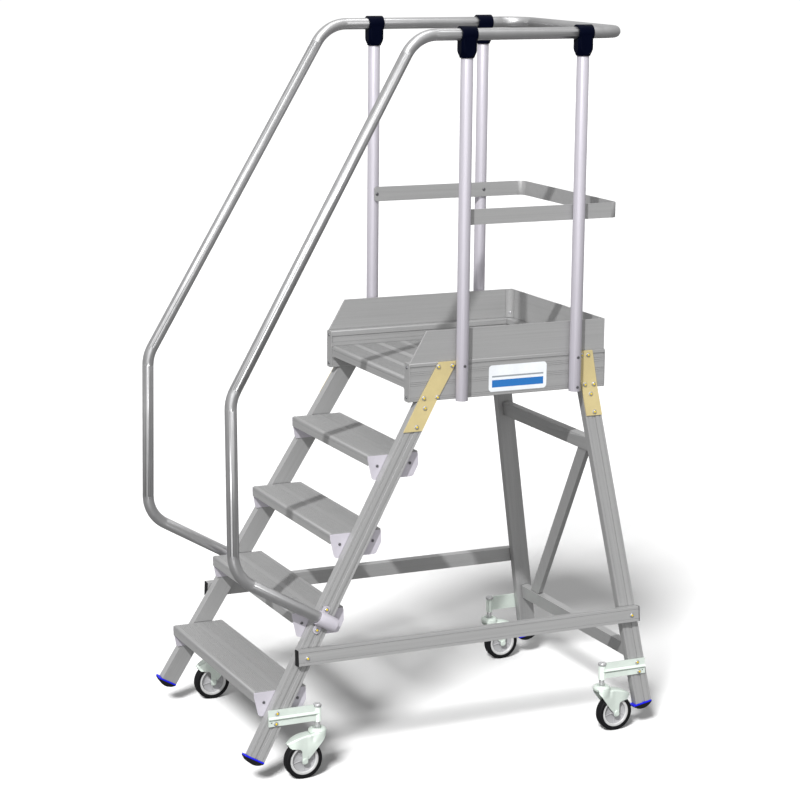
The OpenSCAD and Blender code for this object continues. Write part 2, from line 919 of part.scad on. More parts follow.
// Hub, dished disc and rim ring
module wheel() {
    hub = fork_in - 0.4;
    color("lightgrey") about_axle() polygon([
        [axle_r + fit, -hub], [11, -hub], [11, -8], [16, -4], [38, -6], [40, -14], [rim_r, -14],
        [rim_r, 14], [40, 14], [38, 6], [16, 4], [11, 8], [11, hub], [axle_r + fit, hub]
    ]);
}

module tyre() {
    shoulder = 6;
    half = wheel_w / 2;
    outer = wheel_d / 2;
    color([0.08, 0.08, 0.08]) about_axle() {
        translate([rim_r, -half]) square([outer - rim_r - shoulder, 2 * half]);
        translate([outer - shoulder - 1, shoulder - half]) square([shoulder + 1, 2 * (half - shoulder)]);
        for (y = [shoulder - half, half - shoulder]) translate([outer - shoulder, y]) circle(shoulder);
    }
}

module front_left_stem() {
    at_caster(true, -1) stem();
}

module front_left_spring() {
    at_caster(true, -1) spring();
}

module front_left_fork() {
    at_caster(true, -1) fork();
}

module front_left_axle() {
    at_caster(true, -1) axle();
}

module front_left_wheel() {
    at_caster(true, -1) wheel();
}

module front_left_tyre() {
    at_caster(true, -1) tyre();
}

module front_right_stem() {
    at_caster(true, 1) stem();
}

module front_right_spring() {
    at_caster(true, 1) spring();
}

module front_right_fork() {
    at_caster(true, 1) fork();
}

module front_right_axle() {
    at_caster(true, 1) axle();
}

module front_right_wheel() {
    at_caster(true, 1) wheel();
}

module front_right_tyre() {
    at_caster(true, 1) tyre();
}

module rear_left_stem() {
    at_caster(false, -1) stem();
}

module rear_left_spring() {
    at_caster(false, -1) spring();
}

module rear_left_fork() {
    at_caster(false, -1) fork();
}

module rear_left_axle() {
    at_caster(false, -1) axle();
}

module rear_left_wheel() {
    at_caster(false, -1) wheel();
}

module rear_left_tyre() {
    at_caster(false, -1) tyre();
}

module rear_right_stem() {
    at_caster(false, 1) stem();
}

module rear_right_spring() {
    at_caster(false, 1) spring();
}

module rear_right_fork() {
    at_caster(false, 1) fork();
}

module rear_right_axle() {
    at_caster(false, 1) axle();
}

module rear_right_wheel() {
    at_caster(false, 1) wheel();
}

module rear_right_tyre() {
    at_caster(false, 1) tyre();
}

stiles();
rear_legs();
foot_soles();
foot_rims();
tread_1();
tread_2();
tread_3();
tread_4();
tread_brackets();
deck_planks();
side_profile_left();
side_profile_right();
rear_profile();
profile_end_plates();
toe_board_left();
toe_board_right();
toe_board_rear();
front_posts();
rear_posts();
rail_clamps();
handrail_left();
handrail_right();
handrail_rear();
handrail_holders();
knee_rail();
gusset_plates();
long_braces();
brace_end_caps();
rear_brace_upper();
rear_brace_lower();
rear_brace_diagonal();
caster_arms();
frame_bolts();
bolt_tips();
small_screws();
side_label();
front_left_stem();
front_left_spring();
front_left_fork();
front_left_axle();
front_left_wheel();
front_left_tyre();
front_right_stem();
front_right_spring();
front_right_fork();
front_right_axle();
front_right_wheel();
front_right_tyre();
rear_left_stem();
rear_left_spring();
rear_left_fork();
rear_left_axle();
rear_left_wheel();
rear_left_tyre();
rear_right_stem();
rear_right_spring();
rear_right_fork();
rear_right_axle();
rear_right_wheel();
rear_right_tyre();
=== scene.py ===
import math

import bmesh
import bpy
from mathutils import Matrix, Vector


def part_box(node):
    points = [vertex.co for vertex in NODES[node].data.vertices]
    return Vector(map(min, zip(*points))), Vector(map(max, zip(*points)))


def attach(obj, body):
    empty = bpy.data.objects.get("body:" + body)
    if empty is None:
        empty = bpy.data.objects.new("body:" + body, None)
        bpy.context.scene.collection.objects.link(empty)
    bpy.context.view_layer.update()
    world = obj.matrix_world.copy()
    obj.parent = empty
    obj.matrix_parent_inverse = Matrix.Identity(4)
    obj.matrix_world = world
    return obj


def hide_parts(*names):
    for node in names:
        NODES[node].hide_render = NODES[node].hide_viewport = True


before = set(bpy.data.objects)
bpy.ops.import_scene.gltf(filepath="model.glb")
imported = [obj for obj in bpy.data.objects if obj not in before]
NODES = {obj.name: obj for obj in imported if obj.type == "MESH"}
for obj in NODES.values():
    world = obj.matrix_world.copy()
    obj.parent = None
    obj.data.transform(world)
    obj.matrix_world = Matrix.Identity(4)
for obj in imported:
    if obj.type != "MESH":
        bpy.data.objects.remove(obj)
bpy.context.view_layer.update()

# Rolling warehouse ladder. Metres, +Z up, +Y the way a person climbs, +X to the climber's right.

MM = 0.001
GROOVE = 5 * MM
WELD_GAP = 0.01 * MM
CORNERS = ("front_left", "front_right", "rear_left", "rear_right")

# Slopes of the frame, the same as in the CAD model
STAIR = math.radians(60)
SPLAY = math.radians(5.115)
LEG = math.radians(10)

# Directions from the ladder towards its lights
TO_LIGHT = Vector((0.846, -0.756, 1.0))
TO_FILL = Vector((1.0, -0.45, 0.05))
TO_SHINE = Vector((0.1, 0.0, 1.0))


# ---------------------------------------------------------------- shader nodes

def add(tree, kind, settings=None, **inputs):
    """Adds a shader node; an input may be a value or another node's socket."""
    node = tree.nodes.new("ShaderNode" + kind)
    for key, value in (settings or {}).items():
        setattr(node, key, value)
    for key, value in inputs.items():
        socket = node.inputs[int(key[1:])] if key[1:].isdigit() else node.inputs[key.replace("_", " ")]
        if isinstance(value, bpy.types.NodeSocket):
            tree.links.new(value, socket)
        else:
            socket.default_value = value
    return node


def math_node(tree, operation, a, b):
    """Joins two values by one operation."""
    return add(tree, "Math", {"operation": operation}, i0=a, i1=b).outputs[0]


def times(tree, a, b):
    return math_node(tree, "MULTIPLY", a, b)


def mapped(tree, value, low, high, to_low, to_high):
    """Rescales a value from one range to another, kept inside the second."""
    node = add(tree, "MapRange", None, Value=value)
    limits = {"From Min": low, "From Max": high, "To Min": to_low, "To Max": to_high}
    for name, number in limits.items():
        node.inputs[name].default_value = number
    return node.outputs[0]


def mixed(tree, factor, a, b):
    """Mixes two colours."""
    node = add(tree, "Mix", {"data_type": "RGBA"})
    for index, value in ((0, factor), (6, a), (7, b)):
        if isinstance(value, bpy.types.NodeSocket):
            tree.links.new(value, node.inputs[index])
        else:
            node.inputs[index].default_value = value
    return node.outputs[2]


def rgb(r, g, b):
    return (r, g, b, 1.0)


def shaded(color, amount):
    """The same colour, darker below 1 and lighter above."""
    return rgb(*(min(1.0, c * amount) for c in color[:3]))


def place(tree, along, across):
    """Position along, across and through a direction, the same on both sides of the ladder."""
    position = add(tree, "TexCoord").outputs["Object"]
    mirrored = add(tree, "VectorMath", {"operation": "ABSOLUTE"}, i0=position).outputs[0]
    split = add(tree, "SeparateXYZ", None, i0=mirrored).outputs
    plain = add(tree, "SeparateXYZ", None, i0=position).outputs
    joined = add(tree, "CombineXYZ", None, X=split[0], Y=plain[1], Z=plain[2]).outputs[0]
    parts = []
    for axis in (along, across, along.cross(across)):
        dot = add(tree, "VectorMath", {"operation": "DOT_PRODUCT"}, i0=joined, i1=tuple(axis))
        parts.append(dot.outputs["Value"])
    return parts


def stretched(tree, parts, scales):
    """A position scaled by its own number along each axis."""
    x, y, z = (times(tree, part, scale) for part, scale in zip(parts, scales))
    return add(tree, "CombineXYZ", None, X=x, Y=y, Z=z).outputs[0]


def noise(tree, vector, scale, detail):
    return add(tree, "TexNoise", None, Vector=vector, Scale=scale, Detail=detail, Roughness=0.55).outputs[0]


def worn_and_highlit_edges(tree, radius):
    """Edge wear and painted highlight mask: 1 on sharp edges and 0 on flat faces."""
    soft = add(tree, "Bevel", {"samples": 4}, Radius=radius).outputs[0]
    normal = add(tree, "NewGeometry").outputs["Normal"]
    match = add(tree, "VectorMath", {"operation": "DOT_PRODUCT"}, i0=soft, i1=normal).outputs["Value"]
    return mapped(tree, match, 0.90, 0.995, 1.0, 0.0)


def painted_groove_shade(tree):
    """Painted shade mask: 1 in narrow grooves and inner corners, where shade falls, 0 in the open."""
    open_sky = add(tree, "AmbientOcclusion", {"samples": 4}, Distance=GROOVE).outputs["AO"]
    return mapped(tree, open_sky, 0.35, 0.85, 1.0, 0.0)


def new_material(name):
    material = bpy.data.materials.new(name)
    material.use_nodes = True
    tree = material.node_tree
    return material, tree, tree.nodes["Principled BSDF"]


def finish_surface(tree, shader, color, roughness, height, strength, distance):
    """Links colour, roughness and bump to the shader."""
    bump = add(tree, "Bump", None, Height=height, Strength=strength, Distance=distance)
    tree.links.new(color, shader.inputs["Base Color"])
    tree.links.new(roughness, shader.inputs["Roughness"])
    tree.links.new(bump.outputs[0], shader.inputs["Normal"])


# ---------------------------------------------------------------- materials

def extruded(name, color, along, across, rough=(0.36, 0.50), lines=900.0):
    """Aluminium pushed through a die: fine lines one way, slow clouds, edges lightened partly by wear and
    partly as painted highlight, and painted shade in grooves.
    """
    line_depth = 0.12 * MM
    material, tree, shader = new_material(name)
    parts = place(tree, along, across)
    fine = noise(tree, stretched(tree, parts, (3.0, lines, lines)), 1.0, 2.0)
    broad = noise(tree, stretched(tree, parts, (1.2, 120.0, 120.0)), 1.0, 2.0)
    even = add(tree, "CombineXYZ", None, X=parts[0], Y=parts[1], Z=parts[2]).outputs[0]
    cloud = noise(tree, even, 7.0, 4.0)
    speck = noise(tree, even, 900.0, 2.0)
    streaks = math_node(tree, "ADD", times(tree, fine, 0.6), times(tree, broad, 0.4))
    streaks = mapped(tree, streaks, 0.3, 0.7, 0.0, 1.0)
    tone = mixed(tree, streaks, shaded(color, 0.88), shaded(color, 1.08))
    tone = mixed(tree, mapped(tree, cloud, 0.35, 0.75, 0.0, 0.22), tone, shaded(color, 0.84))
    # Edges lightened: partly wear, partly painted highlight
    tone = mixed(tree, times(tree, worn_and_highlit_edges(tree, 1.2 * MM), 0.35), tone, shaded(color, 1.35))
    # Painted shade: grooves and inner corners darkened in the colour
    tone = mixed(tree, times(tree, painted_groove_shade(tree), 0.7), tone, shaded(color, 0.25))
    roughness = mapped(tree, math_node(tree, "ADD", fine, cloud), 0.7, 1.3, *rough)
    height = math_node(tree, "ADD", fine, times(tree, speck, 0.25))
    finish_surface(tree, shader, tone, roughness, height, 0.35, line_depth)
    shader.inputs["Metallic"].default_value = 0.25
    return material


def coated(name, color, metal=0.0, rough=(0.38, 0.52), grain=1400.0, depth=0.08 * MM, edge_wear_and_highlight=0.3,
           edge_wear_and_highlight_color=None, gloss=0.5, coat=0.0):
    """Paint, anodising, zinc or moulded plastic: fine grain, faint clouds, edges lightened partly by wear
    and partly as painted highlight, and painted shade in grooves.
    """
    material, tree, shader = new_material(name)
    position = add(tree, "TexCoord").outputs["Object"]
    cloud = noise(tree, position, 14.0, 4.0)
    peel = noise(tree, position, grain, 3.0)
    spot = noise(tree, position, 160.0, 3.0)
    tone = mixed(tree, mapped(tree, cloud, 0.35, 0.7, 0.0, 1.0), shaded(color, 0.94), shaded(color, 1.04))
    tone = mixed(tree, mapped(tree, spot, 0.55, 0.8, 0.0, 0.25), tone, shaded(color, 0.86))
    # Edges lightened: partly wear, partly painted highlight
    edge = times(tree, worn_and_highlit_edges(tree, 1 * MM), edge_wear_and_highlight)
    tone = mixed(tree, edge, tone, edge_wear_and_highlight_color or shaded(color, 1.25))
    # Painted shade: grooves and inner corners darkened in the colour
    tone = mixed(tree, times(tree, painted_groove_shade(tree), 0.6), tone, shaded(color, 0.3))
    roughness = mapped(tree, math_node(tree, "ADD", peel, cloud), 0.7, 1.3, *rough)
    finish_surface(tree, shader, tone, roughness, peel, 0.3, depth)
    shader.inputs["Metallic"].default_value = metal
    shader.inputs["Coat Weight"].default_value = coat
    shader.inputs["Specular IOR Level"].default_value = gloss
    return material


def within(tree, value, low, high):
    """1 where a value lies between two limits."""
    above = math_node(tree, "GREATER_THAN", value, low)
    return times(tree, above, math_node(tree, "LESS_THAN", value, high))


def label_film():
    """White printed film with plain stripes and no lettering."""
    material = coated("label_film", rgb(0.86, 0.89, 0.92), rough=(0.22, 0.30), coat=0.3, edge_wear_and_highlight=0.0)
    tree = material.node_tree
    shader = tree.nodes["Principled BSDF"]
    low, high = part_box("side_label")
    place_on = add(tree, "SeparateXYZ", None, i0=add(tree, "TexCoord").outputs["Object"])
    inset = 12 * MM
    across = within(tree, place_on.outputs[1], low[1] + inset, high[1] - inset)
    tall = high[2] - low[2]
    film = shader.inputs["Base Color"].links[0].from_socket
    stripes = ((0.16, 0.44, rgb(0.02, 0.17, 0.50)), (0.54, 0.60, rgb(0.30, 0.33, 0.36)))
    for base, top, ink in stripes:
        stripe = within(tree, place_on.outputs[2], low[2] + base * tall, low[2] + top * tall)
        film = mixed(tree, times(tree, stripe, across), film, ink)
    tree.links.new(film, shader.inputs["Base Color"])
    return material


ALONG_X = Vector((1, 0, 0))
ALONG_Y = Vector((0, 1, 0))
UP = Vector((0, 0, 1))
SPLAY_UP = Vector((-math.sin(SPLAY), 0, math.cos(SPLAY)))
OUTWARDS = Vector((math.cos(SPLAY), 0, math.sin(SPLAY)))
STILE_DIR = (SPLAY_UP * math.sin(STAIR) + ALONG_Y * math.cos(STAIR)).normalized()
LEG_DIR = (SPLAY_UP * math.cos(LEG) - ALONG_Y * math.sin(LEG)).normalized()

MILL = rgb(0.40, 0.40, 0.40)
TUBE = rgb(0.48, 0.48, 0.485)
LILAC = rgb(0.60, 0.575, 0.635)
TAN = rgb(0.60, 0.50, 0.25)
ZINC = rgb(0.76, 0.84, 0.775)
STEEL = rgb(0.70, 0.70, 0.72)


def make_materials():
    """Every material, by name."""
    return {
        "stile": extruded("stile_aluminium", MILL, STILE_DIR, OUTWARDS),
        "leg": extruded("leg_aluminium", MILL, LEG_DIR, OUTWARDS),
        "cross": extruded("cross_aluminium", MILL, ALONG_X, ALONG_Y),
        "length": extruded("profile_aluminium", MILL, ALONG_Y, ALONG_X),
        "tube": coated("tube_aluminium", TUBE, metal=0.80, rough=(0.34, 0.38), grain=300.0,
                       depth=0.004 * MM, edge_wear_and_highlight=0.0),
        "post": extruded("post_aluminium", LILAC, UP, ALONG_X, rough=(0.34, 0.42), lines=500.0),
        "lilac": coated("lilac_casting", LILAC, metal=0.2),
        "tan": coated("tan_plate", TAN, rough=(0.42, 0.55)),
        "zinc": coated("caster_zinc", ZINC, metal=0.25, rough=(0.30, 0.42), grain=500.0),
        "navy": coated("navy_clamp", rgb(0.0006, 0.0015, 0.009), rough=(0.34, 0.46), edge_wear_and_highlight=0.05,
                       edge_wear_and_highlight_color=rgb(0.03, 0.05, 0.09), gloss=0.04),
        "rubber": coated("black_sole", rgb(0.010, 0.010, 0.011), rough=(0.60, 0.75), grain=700.0, edge_wear_and_highlight=0.15,
                         edge_wear_and_highlight_color=rgb(0.04, 0.04, 0.04), gloss=0.15),
        "blue": coated("blue_rim", rgb(0.004, 0.006, 0.80), rough=(0.35, 0.45), edge_wear_and_highlight=0.1),
        "cap": coated("black_cap", rgb(0.008, 0.008, 0.009), rough=(0.45, 0.55), edge_wear_and_highlight=0.1, gloss=0.2),
        "bolt": coated("bolt_steel", STEEL, metal=0.9, rough=(0.20, 0.32), grain=600.0),
        "screw": coated("screw_steel", rgb(0.16, 0.16, 0.17), metal=0.7, rough=(0.30, 0.42), grain=600.0),
        "gold": coated("bolt_gold", rgb(0.85, 0.62, 0.003), rough=(0.30, 0.40)),
        "stem": coated("stem_steel", rgb(0.70, 0.70, 0.71), metal=0.6, rough=(0.20, 0.32)),
        "spring": coated("spring_steel", rgb(0.10, 0.10, 0.10), metal=0.9, rough=(0.35, 0.5)),
        "wheel": coated("wheel_plastic", rgb(0.40, 0.40, 0.41), rough=(0.35, 0.48)),
        "tyre": coated("tyre_rubber", rgb(0.008, 0.008, 0.009), rough=(0.50, 0.65), grain=500.0, edge_wear_and_highlight=0.2,
                       edge_wear_and_highlight_color=rgb(0.03, 0.03, 0.03), gloss=0.15),
        "rim": coated("rim_ring", rgb(0.62, 0.62, 0.62), rough=(0.30, 0.40)),
        "label": label_film(),
    }


FINISH = {
    "stiles": "stile", "rear_legs": "leg", "foot_soles": "rubber", "foot_rims": "blue",
    "tread_1": "cross", "tread_2": "cross", "tread_3": "cross", "tread_4": "cross",
    "tread_brackets": "lilac", "deck_planks": "cross",
    "side_profile_left": "length", "side_profile_right": "length", "rear_profile": "cross",
    "profile_end_plates": "length", "toe_board_left": "length", "toe_board_right": "length",
    "toe_board_rear": "cross", "front_posts": "post", "rear_posts": "post", "rail_clamps": "navy",
    "handrail_left": "tube", "handrail_right": "tube", "handrail_rear": "tube",
    "handrail_holders": "lilac", "knee_rail": "length", "gusset_plates": "tan",
    "long_braces": "length", "brace_end_caps": "cap", "rear_brace_upper": "cross",
    "rear_brace_lower": "cross", "rear_brace_diagonal": "leg", "caster_arms": "zinc",
    "frame_bolts": "bolt", "bolt_tips": "gold", "small_screws": "screw", "side_label": "label",
}
CASTER_FINISH = {
    "stem": "stem", "spring": "spring", "fork": "zinc", "axle": "zinc", "wheel": "wheel", "tyre": "tyre",
}

# Edge rounding of the cast and moulded pieces, in millimetres
SOFT_EDGES = {"handrail_holders": 1.6, "foot_soles": 2.5, "rail_clamps": 2.2, "tread_brackets": 0.9}
PLAIN_EDGE = 0.5


def finish_nodes(materials):
    """Gives every CAD node its material, soft edges and smooth curved faces."""
    wanted = dict(FINISH)
    for corner in CORNERS:
        for part, finish in CASTER_FINISH.items():
            wanted[corner + "_" + part] = finish
    for name, finish in wanted.items():
        node = NODES[name]
        node.data.materials.clear()
        node.data.materials.append(materials[finish])
        weld = node.modifiers.new("weld", "WELD")
        weld.merge_threshold = WELD_GAP
        soften(node, SOFT_EDGES.get(name, PLAIN_EDGE) * MM, 3 if name in SOFT_EDGES else 2)


# ---------------------------------------------------------------- mesh helpers

def loft(bm, rings, closed=True, caps=False):
    """Skins rows of points with the same count."""
    rows = [[bm.verts.new(point) for point in ring] for ring in rings]
    count = len(rings[0])
    for low, high in zip(rows, rows[1:]):
        for i in range(count if closed else count - 1):
            j = (i + 1) % count
            bm.faces.new((low[i], low[j], high[j], high[i]))
    if caps:
        bm.faces.new(rows[0])
        bm.faces.new(rows[-1])


def turned_rings(outline, spot, steps):
    """Rings from an outline of (radius, height) turned about the local Z of a place."""
    angles = [2 * math.pi * i / steps for i in range(steps)]
    return [
        [spot @ Vector((radius * math.cos(a), radius * math.sin(a), height)) for a in angles]
        for radius, height in outline
    ]


def lathe(bm, outline, spot, steps):
    """Turns an outline into a closed round solid."""
    loft(bm, turned_rings(outline, spot, steps), caps=True)


def in_metres(outline):
    """An outline given in millimetres."""
    return [(x * MM, y * MM) for x, y in outline]


def finish_piece(name, bm, material, body, replaces=(), sharp=40, bevel=0.0):
    """Turns a bmesh into a smooth piece that rides on a body."""
    bmesh.ops.remove_doubles(bm, verts=bm.verts, dist=0.000005)
    bmesh.ops.recalc_face_normals(bm, faces=bm.faces)
    mesh = bpy.data.meshes.new(name)
    bm.to_mesh(mesh)
    bm.free()
    mesh.materials.append(material)
    piece = bpy.data.objects.new(name, mesh)
    bpy.context.scene.collection.objects.link(piece)
    mesh.shade_smooth()
    mesh.set_sharp_from_angle(angle=math.radians(sharp))
    if bevel:
        soften(piece, bevel, 3)
    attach(piece, body)
    if replaces:
        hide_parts(*replaces)
    return piece


def soften(piece, width, segments=2):
    """Rounds the sharp edges of a piece."""
    bevel = piece.modifiers.new("edges", "BEVEL")
    bevel.width = width
    bevel.segments = segments
    bevel.limit_method = "ANGLE"
    bevel.angle_limit = math.radians(35)
    bevel.harden_normals = True


def caster_spot(corner):
    """Place on the floor under a caster's stem, with +Y towards the trailing wheel."""
    low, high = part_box(corner + "_stem")
    middle = Matrix.Translation(((low[0] + high[0]) / 2, (low[1] + high[1]) / 2, 0))
    turn = math.pi if corner.startswith("front") else 0.0
    return middle @ Matrix.Rotation(turn, 4, "Z")


# ---------------------------------------------------------------- caster forks

TRAIL = 50 * MM
AXLE_Z = 62.5 * MM
CHEEK_X = 20.5 * MM
SHEET = 2.4 * MM
HOOD_R = 131.5 * MM
HOOD_TOP = 145.5 * MM
HOOD_Y = 30 * MM
BOSS_R = 12 * MM
BOSS_HALF = 9.5 * MM

# Lower edge of a cheek before and behind the axle boss, in millimetres
CHEEK_FRONT = [(-20, 141), (-8, 124), (4, 108), (26, 79), (39, 66)]
CHEEK_BACK = [
    (59.5, 83), (60, 93), (62, 98), (66, 102), (72, 104), (92, 105), (97, 108), (101, 113), (107, 127),
]


def hood_height(y):
    """Height of the hood's middle line at a distance behind the stem."""
    return HOOD_TOP - HOOD_R + math.sqrt(HOOD_R ** 2 - (y - HOOD_Y) ** 2)


def cheek_bottom(y):
    """Height of a cheek's lower edge at a distance behind the stem."""
    off = abs(y - TRAIL)
    if y < 39 * MM:
        outline = CHEEK_FRONT
    elif off <= BOSS_HALF:
        return AXLE_Z - math.sqrt(max(0.0, BOSS_R ** 2 - off ** 2))
    else:
        outline = CHEEK_BACK
    for (y0, z0), (y1, z1) in zip(outline, outline[1:]):
        if y <= y1 * MM:
            share = max(0.0, (y / MM - y0) / (y1 - y0))
            return (z0 + (z1 - z0) * share) * MM
    return outline[-1][1] * MM


def hood_half_width(y):
    """Half of the hood's width: it narrows towards its tip."""
    start = 66 * MM
    reach = 42 * MM
    if y < start:
        return CHEEK_X
    return CHEEK_X * (1 - 0.74 * ((y - start) / reach) ** 2)


def smooth_step(value, low, high):
    """0 below one limit and 1 above the other, with an easy curve between."""
    share = min(1.0, max(0.0, (value - low) / (high - low)))
    return share * share * (3 - 2 * share)


def flare(y, z):
    """How far a cheek stands out from its plane: it opens forwards and meets the swivel head's rim."""
    crease = 42 * MM
    open_out = 0.15 * max(0.0, crease - y) * smooth_step(z, 62 * MM, 112 * MM)
    rim = math.sqrt(max(0.0, (29 * MM) ** 2 - y * y)) - CHEEK_X
    near_head = smooth_step(z, 118 * MM, 140 * MM) * (1 - smooth_step(y, 16 * MM, 34 * MM))
    return open_out + (max(rim, -2 * MM) - open_out) * near_head


def hood_section(y):
    """Points across the fork at a distance behind the stem, from one lower edge to the other."""
    under_head = 1 - smooth_step(y, 14 * MM, 27 * MM)
    top = hood_height(y) + (154 * MM - hood_height(y)) * under_head
    bottom = min(cheek_bottom(y), top - 2 * MM)
    half = hood_half_width(y)
    corner = min(3.5 * MM, (top - bottom) * 0.8, half * 0.6)
    side = [(half, bottom + (top - corner - bottom) * i / 16) for i in range(17)]
    bend = [math.pi / 2 * i / 5 for i in range(1, 6)]
    side += [(half - corner + corner * math.cos(a), top - corner + corner * math.sin(a)) for a in bend]
    side = [(x + flare(y, z), z) for x, z in side]
    edge = side[-1][0]
    rise = 0.8 * MM
    crown = [(edge * (1 - i / 4), top + rise * math.sin(math.pi / 2 * i / 4)) for i in range(1, 4)]
    half_row = side + crown
    row = [Vector((x, y, z)) for x, z in half_row] + [Vector((0, y, top + rise))]
    return row + [Vector((-x, y, z)) for x, z in reversed(half_row)]


def make_fork(corner, materials):
    """Pressed fork: cheeks and hood from one sheet, swivel head, bosses and rivets."""
    spot = caster_spot(corner)
    zinc = materials["zinc"]
    body = corner + "_swivel"
    boss_ys = [TRAIL - BOSS_HALF * math.cos(math.pi * i / 12) for i in range(13)]
    front_ys = [(-20 + 58.9 * i / 20) * MM for i in range(21)]
    back_steps = (59.6, 60, 61, 62, 64, 66, 69, 72, 77, 82, 87, 92, 94.5, 97, 99, 101, 103, 105, 107)
    back_ys = [y * MM for y in back_steps]
    bm = bmesh.new()
    sections = [hood_section(y) for y in front_ys + boss_ys + back_ys]
    loft(bm, [[spot @ point for point in row] for row in sections], closed=False)
    shell = finish_piece(
        corner + "_fork_sheet", bm, zinc, body, replaces=(corner + "_fork",), sharp=50,
    )
    thick = shell.modifiers.new("sheet", "SOLIDIFY")
    thick.thickness = SHEET
    thick.offset = 0.0
    soften(shell, 0.6 * MM)

    bm = bmesh.new()
    head = [
        (0, 144), (24, 144), (26.5, 145.5), (28.2, 149), (29.4, 153), (29.6, 155), (29.3, 156.8),
        (28.2, 158), (27.6, 158.3), (27.4, 159.4), (26, 161.2), (23.5, 162.8), (21, 163.9), (18.6, 164.4),
        (16.5, 164.2), (15.2, 163), (14.4, 160.5), (13.4, 158.6), (11, 158.1), (0, 158.1),
    ]
    lathe(bm, in_metres(head), spot, 64)
    finish_piece(corner + "_fork_head", bm, zinc, body, sharp=60)

    bm = bmesh.new()
    across = Matrix.Rotation(math.pi / 2, 4, "Y")
    boss = in_metres([(0, 0), (10, 0), (9.4, 0.9), (8.6, 1.1), (0, 1.1)])
    dome = in_metres([(0, 0), (1.9, 0), (1.7, 0.8), (0.9, 1.2), (0, 1.2)])
    rivet_circle = 23.6 * MM
    rivet_height = 162.2 * MM
    for side in (-1, 1):
        face = spot @ Matrix.Translation((side * (CHEEK_X + 1.1 * MM), TRAIL, AXLE_Z))
        turned = face @ (across if side > 0 else across.inverted())
        lathe(bm, boss, turned, 40)
    for turn in range(3):
        angle = math.radians(60 + 60 * turn)
        x = rivet_circle * math.cos(angle)
        y = -rivet_circle * math.sin(angle)
        lathe(bm, dome, spot @ Matrix.Translation((x, y, rivet_height)), 20)
    finish_piece(corner + "_fork_bosses", bm, zinc, body)


# ---------------------------------------------------------------- wheels

def make_wheel(corner, materials):
    """Wheel body: bearing hub, dish with five ribs and a pale rim ring."""
    spot = caster_spot(corner) @ Matrix.Translation((0, TRAIL, AXLE_Z))
    spot = spot @ Matrix.Rotation(math.pi / 2, 4, "Y")
    roller = corner + "_roller"
    rim = [
        (5.05, -18.6), (10.4, -18.6), (11, -18), (11.6, -9), (13.5, -6), (18, -4.4), (34, -4.8), (38, -6.4),
        (39.6, -9.5), (40.2, -13), (41.2, -14), (44.4, -14), (45, -13.3), (45.6, -13.3), (46.2, -14),
        (48, -14), (49, -13.4),
    ]
    outline = in_metres(rim + [(r, -h) for r, h in reversed(rim)])
    bm = bmesh.new()
    loft(bm, turned_rings(outline + outline[:1], spot, 96))
    body = finish_piece(
        corner + "_wheel_body", bm, materials["wheel"], roller,
        replaces=(corner + "_wheel",), sharp=35,
    )
    body.data.materials.append(materials["rim"])
    centre = spot.translation
    ring_start = 40.5 * MM
    for face in body.data.polygons:
        if (face.center - centre).length > ring_start:
            face.material_index = 1

    # Each rib's radius, height and half width, in millimetres
    rib = ((11, 9.5, 2.2), (16, 7.4, 1.9), (26, 6.6, 1.7), (36, 7.2, 1.9), (39.4, 9.2, 2.4))
    base = 4.0
    ribs = 5
    bm = bmesh.new()
    for turn in range(ribs):
        for side in (-1, 1):
            tilt = spot @ Matrix.Rotation(2 * math.pi * turn / ribs, 4, "Z")
            rows = []
            for radius, reach, half in rib:
                row = [(-half - 0.8, base), (-half, reach - 0.5), (-half * 0.5, reach), (half * 0.5, reach),
                       (half, reach - 0.5), (half + 0.8, base)]
                rows.append([tilt @ Vector((radius * MM, y * MM, side * h * MM)) for y, h in row])
            loft(bm, rows, caps=True)
    finish_piece(corner + "_wheel_ribs", bm, materials["wheel"], roller, sharp=60)


# ---------------------------------------------------------------- platform details

def quarter_arc(centre, side, radius, height):
    """Points on a quarter circle, from the ladder's side round to its rear."""
    steps = 12
    angles = [math.pi / 2 * i / steps for i in range(steps + 1)]
    return [
        Vector((centre.x + side * radius * math.cos(a), centre.y + radius * math.sin(a), height))
        for a in angles
    ]


def make_corner_strips(materials):
    """Hollow rounded strips that close the toe boards' inner rear corners, each with a screw."""
    reach = 22 * MM
    thick = 2 * MM
    screw_height = 18 * MM
    dome = in_metres([(0, -1), (5, -1), (5, 0.6), (4.2, 1.8), (2.6, 2.5), (0, 2.8)])
    low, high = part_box("toe_board_rear")
    inner_x = abs(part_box("toe_board_left")[1][0])
    inner_y = low[1]
    diagonal = math.cos(math.pi / 4)
    bm = bmesh.new()
    screws = bmesh.new()
    for side in (-1, 1):
        centre = Vector((side * (inner_x - reach), inner_y - reach, 0))
        rings = []
        for z in (low[2] + 1 * MM, high[2] - 0.5 * MM):
            outer = quarter_arc(centre, side, reach, z)
            inner = quarter_arc(centre, side, reach - thick, z)
            rings.append(outer + inner[::-1])
        loft(bm, rings, caps=True)
        off = (reach - thick) * diagonal
        spot = Matrix.Translation((centre.x + side * off, centre.y + off, low[2] + screw_height))
        facing = Vector((-side * diagonal, -diagonal, 0)).to_track_quat("Z", "Y")
        lathe(screws, dome, spot @ facing.to_matrix().to_4x4(), 28)
    finish_piece("toe_corner_strips", bm, materials["leg"], "frame", bevel=0.3 * MM)
    finish_piece("toe_corner_screws", screws, materials["bolt"], "frame")


# ---------------------------------------------------------------- room, light and camera

